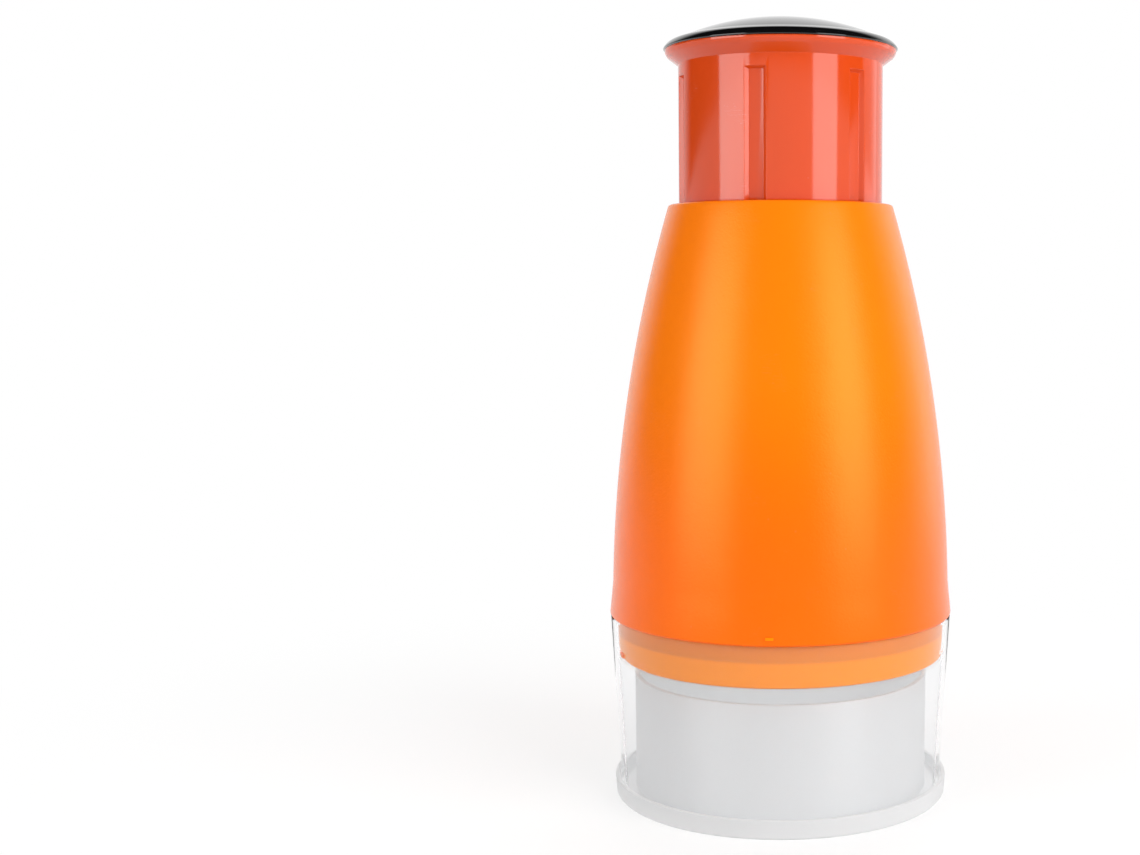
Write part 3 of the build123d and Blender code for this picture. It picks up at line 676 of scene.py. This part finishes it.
def plunger_profile(sizes):
    """The tube, its flare, the mouth round the cap's skirt, the bridge and the spring's cup."""
    outer, bore = sizes.plunger_radius, sizes.plunger_radius - sizes.plunger_wall
    flare = (outer, CAP_SEAM - 4.05 * MM)
    turn_in = (FLARE_RADIUS - 0.8 * MM, CAP_SEAM - 1.85 * MM)
    turn_in_arc = 2.6 * MM
    mouth, seat_radius = FLARE_RADIUS - 1.6 * MM, FLARE_RADIUS - 2.4 * MM
    seat, skirt_wall = CAP_SEAM - 2.2 * MM, 1.6 * MM
    bridge_low, bridge_top = flare[1] - 2.3 * MM, flare[1] + 0.2 * MM
    shaft_bore, boss, boss_low = 3.1 * MM, 6 * MM, bridge_low - 5 * MM
    cup_bore, cup_outer, cup_low = 12.9 * MM, 14.1 * MM, bridge_low - 3 * MM
    outline = [(outer, PLUNGER_FOOT), flare, turn_in]
    outline += arc(turn_in, (FLARE_RADIUS, CAP_SEAM), turn_in_arc, count=6)
    outline += [(mouth, CAP_SEAM), (seat_radius, seat), (bore + skirt_wall, seat)]
    outline += [(bore + skirt_wall, CAP_SEAM), (bore, CAP_SEAM), (bore, bridge_top)]
    outline += [(shaft_bore, bridge_top), (shaft_bore, boss_low), (boss, boss_low), (boss, bridge_low)]
    outline += [(cup_bore, bridge_low), (cup_bore, cup_low), (cup_outer, cup_low), (cup_outer, bridge_low)]
    outline += [(bore, bridge_low), (bore, PLUNGER_FOOT)]
    return outline


def groove_cutter(sizes):
    """The wedge-sided bar that a groove is cut with, slanted at its upper end."""
    spare, slant_rise = 1 * MM, 0.7 * MM
    reach, slant = sizes.groove_depth + spare, slant_rise / sizes.groove_depth
    floor_y = sizes.groove_depth - sizes.plunger_radius
    top, foot = BODY_RIM + 35.2 * MM, PLUNGER_FOOT - spare
    height = top + reach * slant - foot
    size = (sizes.groove_floor, reach, height)
    cutter = block("groove_cutter", size, (0, floor_y - reach / 2, foot + height / 2))
    widest = sizes.groove_floor + (sizes.groove_mouth - sizes.groove_floor) * reach / sizes.groove_depth
    front = -0.9
    select_faces(cutter, lambda centre, normal: normal.y < front)
    bpy.ops.transform.resize(value=(widest / sizes.groove_floor, 1, 1), center_override=(0, 0, 0))
    bpy.ops.mesh.select_all(action="SELECT")
    bpy.ops.mesh.bisect(
        plane_co=(0, -sizes.plunger_radius, top), plane_no=(0, slant, 1), clear_outer=True, use_fill=True
    )
    bpy.ops.object.mode_set(mode="OBJECT")
    return cutter


def groove_back(sizes):
    """The thicker wall inside the tube behind a groove."""
    thickness, length, place = 1.8 * MM, 63 * MM, (0, -26.0 * MM, PLUNGER_FOOT + 32 * MM)
    return block("groove_back", (sizes.groove_mouth, thickness, length), place)


class CHOPPER_OT_plunger(bpy.types.Operator):
    """Model the grooved, flared plunger."""

    bl_idname = "chopper.plunger"
    bl_label = "Plunger"

    def execute(self, context):
        sizes, finish = context.scene.chopper_sizes, context.scene.chopper_finish
        first_groove, groove_edge = -13.6, 0.28 * MM
        plunger = turned("grooved_plunger", plunger_profile(sizes), sizes.steps)
        angles = [first_groove + 360 * i / sizes.groove_count for i in range(sizes.groove_count)]
        combine(plunger, copies_round(groove_back(sizes), angles), "UNION")
        combine(plunger, copies_round(groove_cutter(sizes), angles), "DIFFERENCE")
        round_edges(plunger, groove_edge, sharp=28)
        smooth(plunger, angle=40)
        red = moulded_plastic(
            "Polished red-orange plastic", finish.plunger_colour, roughness=0.1, grain=90.0, depth=0.01 * MM,
            tone=0.08, specks=0.12,
        )
        finish_piece(plunger, "plunger", "red_plunger", red, "plunger_tube", "plunger_bridge", "shaft_bush")
        return {"FINISHED"}


def body_profile(sizes):
    """The bell: foot, waist, long arc, rim, guide collar and the seat for the neck."""
    foot_edge = 0.5 * MM
    waist = (FOOT_RADIUS - 0.9 * MM, BODY_FOOT + 9.6 * MM)
    rim = (31.7 * MM, BODY_RIM - 0.8 * MM)
    rim_edge = [(31.5 * MM, BODY_RIM - 0.25 * MM), (30.9 * MM, BODY_RIM)]
    ceiling = BODY_RIM - 5.8 * MM
    collar_bore, collar_radius, collar_low = 28.85 * MM, 30.65 * MM, BODY_RIM - 21 * MM
    beside_collar = 30.7 * MM
    neck_seat, foot_bore = 45.6 * MM, 46.3 * MM
    outer = arc(waist, rim, sizes.body_arc, count=28)
    inner = [(r - sizes.body_wall, z) for r, z in outer if NECK_TOP < z < ceiling]
    outline = [(FOOT_RADIUS - foot_edge, BODY_FOOT), (FOOT_RADIUS, BODY_FOOT + foot_edge), waist] + outer
    outline += rim_edge + [(collar_bore, BODY_RIM), (collar_bore, collar_low)]
    outline += [(collar_radius, collar_low), (collar_radius, inner[-1][1])]
    outline += [(r, z) for r, z in reversed(inner) if r > beside_collar]
    outline += [(neck_seat, NECK_TOP), (foot_bore, NECK_TOP), (foot_bore, BODY_FOOT)]
    return outline


def alignment_mark(finish):
    """The small raised mark above the body's foot, whose paler orange is a painted highlight."""
    width, depth, height, edge = 2.2 * MM, 0.9 * MM, 0.8 * MM, 0.18 * MM
    sunk, above_foot, bearing = 0.15 * MM, 2.2 * MM, -3.4
    mark = block("alignment_mark", (width, depth, height), (0, sunk - FOOT_RADIUS, BODY_FOOT + above_foot))
    turn(mark, bearing)
    round_edges(mark, edge)
    smooth(mark)
    # Painted highlight: the paler orange stands in for the light that the raised mark catches.
    pale = moulded_plastic(
        "Orange mark with painted highlight", (1.0, 0.26, 0.002), roughness=0.25, grain=finish.grain, depth=0.02 * MM,
        tone=0.02, scratches=0.0, specks=0.0, sheen=(1.0, 0.7, 0.1),
    )
    finish_piece(mark, "housing", "orange_body", pale)


class CHOPPER_OT_body(bpy.types.Operator):
    """Model the satin orange body with its alignment mark."""

    bl_idname = "chopper.body"
    bl_label = "Body"

    def execute(self, context):
        sizes, finish = context.scene.chopper_sizes, context.scene.chopper_finish
        body = turned("bell_body", body_profile(sizes), sizes.steps, sizes.edge, sharp=34)
        smooth(body, angle=30)
        # The lighter orange of the upper half is painted light, standing in for the brighter light from
        # above.
        orange = moulded_plastic(
            "Satin orange plastic", finish.body_colour, roughness=0.22, grain=finish.grain, depth=0.08 * MM,
            tone=0.05, scratches=0.12, specks=0.1, sheen=(1.0, 0.72, 0.22), upper=finish.body_painted_light,
            change=(BODY_FOOT + 14 * MM, BODY_FOOT + 76 * MM),
        )
        finish_piece(body, "housing", "orange_body", orange, "body_shell", "guide_collar")
        dress(orange, "screw_posts")
        alignment_mark(finish)
        return {"FINISHED"}


class CHOPPER_OT_neck(bpy.types.Operator):
    """Finish the neck ring under the body."""

    bl_idname = "chopper.neck"
    bl_label = "Neck"

    def execute(self, context):
        finish = context.scene.chopper_finish
        # The deeper orange band just under the body's foot is a painted shadow of the foot.
        orange = moulded_plastic(
            "Polished orange plastic", finish.neck_colour, roughness=0.25, grain=900.0, depth=0.01 * MM,
            tone=0.04, scratches=0.2, specks=0.1, upper=finish.neck_painted_shadow,
            change=(BODY_FOOT - 5.2 * MM, BODY_FOOT - 4.4 * MM),
        )
        dress(orange, "neck_ring")
        return {"FINISHED"}


def guard_profile(sizes):
    """The tapered sleeve with the socket, the ledge under the neck and the heights of the nubs."""
    taper, socket = 2.9 * MM, 1.4 * MM
    ledge_reach, ledge = 4.6 * MM, NECK_FOOT - 0.2 * MM
    under = ledge - 0.8 * MM
    nub_low, nub_high = ledge + 1.3 * MM, ledge + 2.4 * MM

    def outer(z):
        return GUARD_RADIUS - taper + taper / (GUARD_RIM - GUARD_FOOT) * (z - GUARD_FOOT)

    outline = [(outer(z), z) for z in (GUARD_FOOT, 0.5 * (GUARD_FOOT + GUARD_RIM), GUARD_RIM)]
    outline += [(outer(z) - socket, z) for z in (GUARD_RIM, nub_high, nub_low, ledge)]
    outline += [(outer(ledge) - ledge_reach, z) for z in (ledge, under)]
    outline += [(outer(z) - sizes.guard_wall, z) for z in (under, GUARD_FOOT)]
    return outline, nub_low, nub_high


class CHOPPER_OT_guard(bpy.types.Operator):
    """Model the clear guard with its bayonet nubs."""

    bl_idname = "chopper.guard"
    bl_label = "Guard"

    def execute(self, context):
        sizes, finish = context.scene.chopper_sizes, context.scene.chopper_finish
        nub_bearings, nub_half_angle, nub_depth = (86, 266), 11, 0.8 * MM
        socket_radius, edge = GUARD_RADIUS - 2 * MM, 0.22 * MM
        outline, nub_low, nub_high = guard_profile(sizes)
        guard = turned("clear_sleeve", outline, sizes.steps)

        def nub_face(centre, normal):
            inward = normal.x * centre.x + normal.y * centre.y < 0
            near = min(apart(bearing_of(centre), bearing) for bearing in nub_bearings) < nub_half_angle
            return inward and near and nub_low < centre.z < nub_high

        select_faces(guard, nub_face)
        bpy.ops.mesh.extrude_region_move(TRANSFORM_OT_translate={"value": (0, 0, 0)})
        shrink = 1 - nub_depth / socket_radius
        bpy.ops.transform.resize(value=(shrink, shrink, 1), center_override=(0, 0, 0))
        bpy.ops.object.mode_set(mode="OBJECT")
        round_edges(guard, edge, sharp=34)
        smooth(guard, angle=30)
        clear = clear_plastic("Clear plastic", finish.guard_colour)
        finish_piece(guard, "guard", "clear_guard", clear, "clear_guard")
        return {"FINISHED"}


def cup_profile(sizes):
    """The tray with its foot ring and lip, and the cup that stands on it."""
    tray, lip_wall, lip_height = LIP_RADIUS - 0.35 * MM, 1.3 * MM, 5.4 * MM
    foot_edge, foot_recess = 0.6 * MM, 0.5 * MM
    foot_inner = tray - 4 * MM
    cup, low_cup = sizes.cup_radius, sizes.cup_radius - 0.2 * MM
    chamber, corner = low_cup - sizes.cup_wall, 0.8 * MM
    outline = [(0.0, GUARD_FOOT), (chamber - corner, GUARD_FOOT), (chamber, GUARD_FOOT + corner)]
    outline += [(cup - sizes.cup_wall, CUP_RIM), (cup, CUP_RIM), (low_cup, GUARD_FOOT)]
    outline += [(tray - lip_wall, GUARD_FOOT), (LIP_RADIUS - lip_wall, lip_height), (LIP_RADIUS, lip_height)]
    outline += [(tray, foot_edge), (tray - foot_edge, 0.0), (foot_inner + foot_recess, 0.0)]
    outline += [(foot_inner, foot_recess), (0.0, foot_recess)]
    return outline


class CHOPPER_OT_cup(bpy.types.Operator):
    """Model the milky cup and tray."""

    bl_idname = "chopper.cup"
    bl_label = "Cup and tray"

    def execute(self, context):
        sizes, finish = context.scene.chopper_sizes, context.scene.chopper_finish
        cup = turned("milky_cup_and_tray", cup_profile(sizes), sizes.steps, sizes.edge, sharp=25)
        smooth(cup, angle=30)
        finish_piece(cup, "tray", "milky_cup", milky_plastic("Milky plastic", finish.cup_colour), "tray_cup")
        return {"FINISHED"}


def spring_heights(turns, steps, wire):
    """The height of the wire's centre at each step, with closer turns at both ends."""
    first, last = SPRING_FOOT + wire, SPRING_TOP - wire
    end_rise, closed_turns, opening = 2 * MM, 0.75, 0.5
    rise = (last - first - 2 * end_rise) / (turns - 2)
    heights = [first]
    for step in range(turns * steps):
        place = (step + 0.5) / steps
        near_end = min(place, turns - place)
        share = min(max((near_end - closed_turns) / opening, 0), 1)
        heights.append(heights[-1] + (end_rise + (rise - end_rise) * share) / steps)
    stretch = (last - first) / (heights[-1] - first)
    return [first + (height - first) * stretch for height in heights]


class CHOPPER_OT_spring(bpy.types.Operator):
    """Model the return spring as one unbroken wire."""

    bl_idname = "chopper.spring"
    bl_label = "Return spring"

    def execute(self, context):
        sizes, finish = context.scene.chopper_sizes, context.scene.chopper_finish
        steps, sides, wire = 24, 12, sizes.wire_radius
        coil = high("return_spring").x - wire
        heights = spring_heights(sizes.spring_turns, steps, wire)
        clear_selection()
        bpy.ops.mesh.primitive_circle_add(
            vertices=sides, radius=wire, location=(coil, 0, heights[0]),
            rotation=(math.radians(90), 0, 0), fill_type="NGON",
        )
        spring = bpy.context.object
        spring.name = "steel_spring"
        bpy.ops.object.transform_apply(location=True, rotation=True, scale=True)
        bpy.ops.object.mode_set(mode="EDIT")
        bpy.ops.mesh.select_all(action="SELECT")
        for before, after in zip(heights, heights[1:]):
            bpy.ops.mesh.extrude_region_move(TRANSFORM_OT_translate={"value": (0, 0, after - before)})
            bpy.ops.transform.rotate(
                value=-math.tau / steps, orient_axis="Z", orient_type="GLOBAL", center_override=(0, 0, 0)
            )
        bpy.ops.mesh.select_all(action="SELECT")
        bpy.ops.mesh.normals_make_consistent(inside=False)
        bpy.ops.object.mode_set(mode="OBJECT")
        smooth(spring, angle=50)
        wire_steel = steel("Spring steel", finish.steel_colour, roughness=0.22, stretch=(3000, 3000, 3000))
        finish_piece(spring, "housing", "plain_steel", wire_steel, "return_spring")
        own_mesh(spring)
        return {"FINISHED"}


class CHOPPER_OT_blade(bpy.types.Operator):
    """Finish the zigzag blade and the steel parts that carry it."""

    bl_idname = "chopper.blade"
    bl_label = "Blade and steel parts"

    def execute(self, context):
        finish = context.scene.chopper_finish
        ground_height = low("zigzag_blade").z + 1.5 * MM
        blade_steel = steel(
            "Blade steel", finish.steel_colour, roughness=0.16, stretch=(160, 160, 5200),
            ground_height=ground_height,
        )
        turned_steel = steel("Turned steel", finish.steel_colour, roughness=0.2, stretch=(400, 400, 6000))
        dress(blade_steel, "zigzag_blade")
        dress(turned_steel, "blade_shaft", "cross_pin", "thrust_washer", "top_washer", "seat_washer")
        dress(turned_steel, "top_screw", "carrier_screw", "plate_screws", "clamp_screws")
        return {"FINISHED"}


class CHOPPER_OT_inner(bpy.types.Operator):
    """Finish the white inner mouldings."""

    bl_idname = "chopper.inner"
    bl_label = "Inner mouldings"

    def execute(self, context):
        finish = context.scene.chopper_finish
        white = moulded_plastic(
            "White plastic", finish.inner_colour, roughness=0.38, grain=1500.0, depth=0.02 * MM, tone=0.04,
            scratches=0.2, specks=0.1,
        )
        dress(white, "wiper_disc", "wiper_retainer", "bearing_plate", "cam_sleeve")
        dress(white, "blade_carrier", "blade_clamp")
        return {"FINISHED"}


# Stage


def lamp(name, power, bearing, height, width, length, sheen=False):
    """A soft rectangular lamp that faces the chopper, and lights either its colours or its sheen."""
    distance, aim = 0.9, Vector((0, 0, 0.12))
    angle = math.radians(bearing)
    place = Vector((distance * math.sin(angle), -distance * math.cos(angle), height))
    bpy.ops.object.light_add(type="AREA", location=place)
    made = bpy.context.object
    made.name = name
    made.data.shape = "RECTANGLE"
    made.data.size = width
    made.data.size_y = length
    made.data.energy = power
    made.rotation_euler = (aim - place).to_track_quat("-Z", "Y").to_euler()
    made.visible_diffuse = not sheen
    made.visible_glossy = sheen


def white_room(world, ambient):
    """White to the camera, white behind the chopper to gloss, and an even pale light to the rest."""
    wall_start, wall_full = 0.45, 0.75
    wall_top, wall_end = 0.62, 0.8
    world.use_nodes = True
    tree = world.node_tree
    even = tree.nodes["Background"]
    even.inputs["Color"].default_value = WHITE
    even.inputs["Strength"].default_value = ambient
    direction = tree.nodes.new("ShaderNodeSeparateXYZ")
    tree.links.new(tree.nodes.new("ShaderNodeTexCoord").outputs["Generated"], direction.inputs[0])
    back_wall = ramp(tree, direction.outputs["Y"], wall_start, wall_full)
    low_enough = ramp(tree, direction.outputs["Z"], wall_end, wall_top)
    behind = maths(tree, "MULTIPLY", back_wall, low_enough)
    white = tree.nodes.new("ShaderNodeBackground")
    white.inputs["Color"].default_value = WHITE
    straight = rays(tree, "Camera", "Transmission")
    tree.links.new(maths(tree, "MAXIMUM", behind, straight), white.inputs["Strength"])
    seen = rays(tree, "Camera", "Glossy", "Transmission")
    room = blended(tree, seen, even.outputs[0], white.outputs[0])
    tree.links.new(room, tree.nodes["World Output"].inputs["Surface"])


def floor_finish():
    """A pale floor with a soft shadow near the chopper, white away from it and clear from below."""
    near, away = 0.07, 0.3
    pale, shaded, glow = (0.8, 0.8, 0.8, 1), (0.4, 0.4, 0.4, 1), 0.62
    material, tree, shader = start_material("Pale floor")
    tree.nodes.remove(shader)
    span = tree.nodes.new("ShaderNodeVectorMath")
    span.operation = "LENGTH"
    tree.links.new(stretched(tree, (1, 1, 0)), span.inputs[0])
    fade = ramp(tree, span.outputs["Value"], near, away)
    lit = plain_shader(tree, "ShaderNodeBsdfDiffuse", Color=pale)
    add = tree.nodes.new("ShaderNodeAddShader")
    tree.links.new(plain_shader(tree, "ShaderNodeBsdfDiffuse", Color=shaded), add.inputs[0])
    tree.links.new(plain_shader(tree, "ShaderNodeEmission", Strength=glow), add.inputs[1])
    white = plain_shader(tree, "ShaderNodeEmission", Strength=1.0)
    seen = rays(tree, "Camera", "Glossy", "Transmission")
    above = blended(tree, seen, lit, blended(tree, fade, add.outputs[0], white))
    below = tree.nodes.new("ShaderNodeNewGeometry").outputs["Backfacing"]
    clear = plain_shader(tree, "ShaderNodeBsdfTransparent")
    set_surface(tree, blended(tree, below, above, clear))
    return material


class CHOPPER_OT_stage(bpy.types.Operator):
    """Set up the floor, the room, the lamps and the camera."""

    bl_idname = "chopper.stage"
    bl_label = "Stage"

    def execute(self, context):
        scene, stage = context.scene, context.scene.chopper_stage
        clear_selection()
        bpy.ops.mesh.primitive_circle_add(vertices=96, radius=4, fill_type="NGON", location=(0, 0, 0))
        floor = bpy.context.object
        floor.name = "floor"
        floor.data.materials.append(floor_finish())
        scene.world = scene.world or bpy.data.worlds.new("Room")
        white_room(scene.world, stage.ambient)
        left, right, rim = stage.sheen_power, stage.sheen_power * 0.73, stage.sheen_power * 0.16
        lamp("key_lamp", stage.key_power, bearing=48, height=0.45, width=0.7, length=0.7)
        lamp("fill_lamp", stage.fill_power, bearing=-60, height=0.42, width=0.6, length=0.6)
        lamp("back_lamp", stage.back_power, bearing=172, height=0.4, width=0.7, length=0.7)
        lamp("left_sheen", left, bearing=-52, height=0.2, width=0.59, length=0.9, sheen=True)
        lamp("right_sheen", right, bearing=50, height=0.2, width=0.47, length=0.9, sheen=True)
        lamp("rim_sheen", rim, bearing=118, height=0.2, width=0.5, length=0.9, sheen=True)
        bpy.ops.object.camera_add(
            location=(0, -stage.distance, stage.height), rotation=(math.radians(90) - stage.pitch, 0, 0)
        )
        camera = bpy.context.object
        camera.name = "photo_camera"
        camera.data.sensor_width = 36
        camera.data.lens = stage.lens
        camera.data.shift_x = stage.shift
        camera.data.clip_start = 0.01
        scene.camera = camera
        scene.view_settings.view_transform = "Standard"
        return {"FINISHED"}


OPERATORS = (
    CHOPPER_OT_cap,
    CHOPPER_OT_plunger,
    CHOPPER_OT_body,
    CHOPPER_OT_neck,
    CHOPPER_OT_guard,
    CHOPPER_OT_cup,
    CHOPPER_OT_spring,
    CHOPPER_OT_blade,
    CHOPPER_OT_inner,
    CHOPPER_OT_stage,
)


class VIEW3D_PT_chopper(bpy.types.Panel):
    """Lists the sizes, finishes and operators."""

    bl_label = "Garlic chopper"
    bl_idname = "VIEW3D_PT_chopper"
    bl_space_type = "VIEW_3D"
    bl_region_type = "UI"
    bl_category = "Chopper"

    def draw(self, context):
        scene = context.scene
        for group in (scene.chopper_sizes, scene.chopper_finish, scene.chopper_stage):
            column = self.layout.column()
            for name in group.__annotations__:
                column.prop(group, name)
        for operator in OPERATORS:
            self.layout.operator(operator.bl_idname)


CLASSES = (ChopperSizes, ChopperFinish, ChopperStage, *OPERATORS, VIEW3D_PT_chopper)


def register():
    for item in CLASSES:
        bpy.utils.register_class(item)
    bpy.types.Scene.chopper_sizes = PointerProperty(type=ChopperSizes)
    bpy.types.Scene.chopper_finish = PointerProperty(type=ChopperFinish)
    bpy.types.Scene.chopper_stage = PointerProperty(type=ChopperStage)


def unregister():
    del bpy.types.Scene.chopper_sizes, bpy.types.Scene.chopper_finish, bpy.types.Scene.chopper_stage
    for item in reversed(CLASSES):
        bpy.utils.unregister_class(item)


def main():
    register()
    bpy.ops.chopper.cap()
    bpy.ops.chopper.plunger()
    bpy.ops.chopper.body()
    bpy.ops.chopper.neck()
    bpy.ops.chopper.guard()
    bpy.ops.chopper.cup()
    bpy.ops.chopper.spring()
    bpy.ops.chopper.blade()
    bpy.ops.chopper.inner()
    bpy.ops.chopper.stage()


if __name__ == "__main__":
    main()
